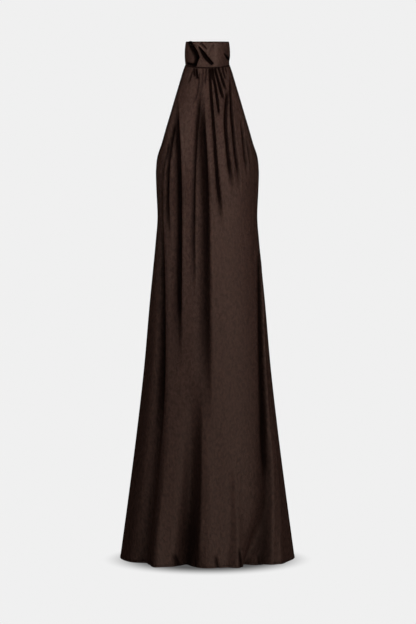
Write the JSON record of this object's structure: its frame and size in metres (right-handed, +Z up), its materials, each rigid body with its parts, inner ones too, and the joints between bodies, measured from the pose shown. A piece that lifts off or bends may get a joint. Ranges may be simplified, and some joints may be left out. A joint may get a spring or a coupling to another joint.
{
  "type": "backless dress",
  "caption": "Long backless halter dress held open as when worn: a gathered front on a buttoned neckband, a low scooped back edge and a skirt flaring to an open hem.",
  "frame": {"origin": "centre of the neckband, at mid-height of its sides, where the neck holds the dress", "axes": "+Z up along the wearer's height, -Y the front of the dress, +X to the right of a viewer who faces the front"},
  "size_m": [0.479, 0.3768, 1.4275],
  "materials": {
    "satin": "satin, dark brown",
    "satin_band": "satin, dark brown, folded double",
    "covered_button": "satin-covered button",
    "loop_cord": "rolled satin cord"
  },
  "bodies": {
    "root": {"neckband": "satin_band", "front_panel": "satin", "back_panel": "satin", "button_upper": "covered_button", "button_lower": "covered_button", "button_loop_upper": "loop_cord", "button_loop_lower": "loop_cord"}
  },
  "joints": []
}
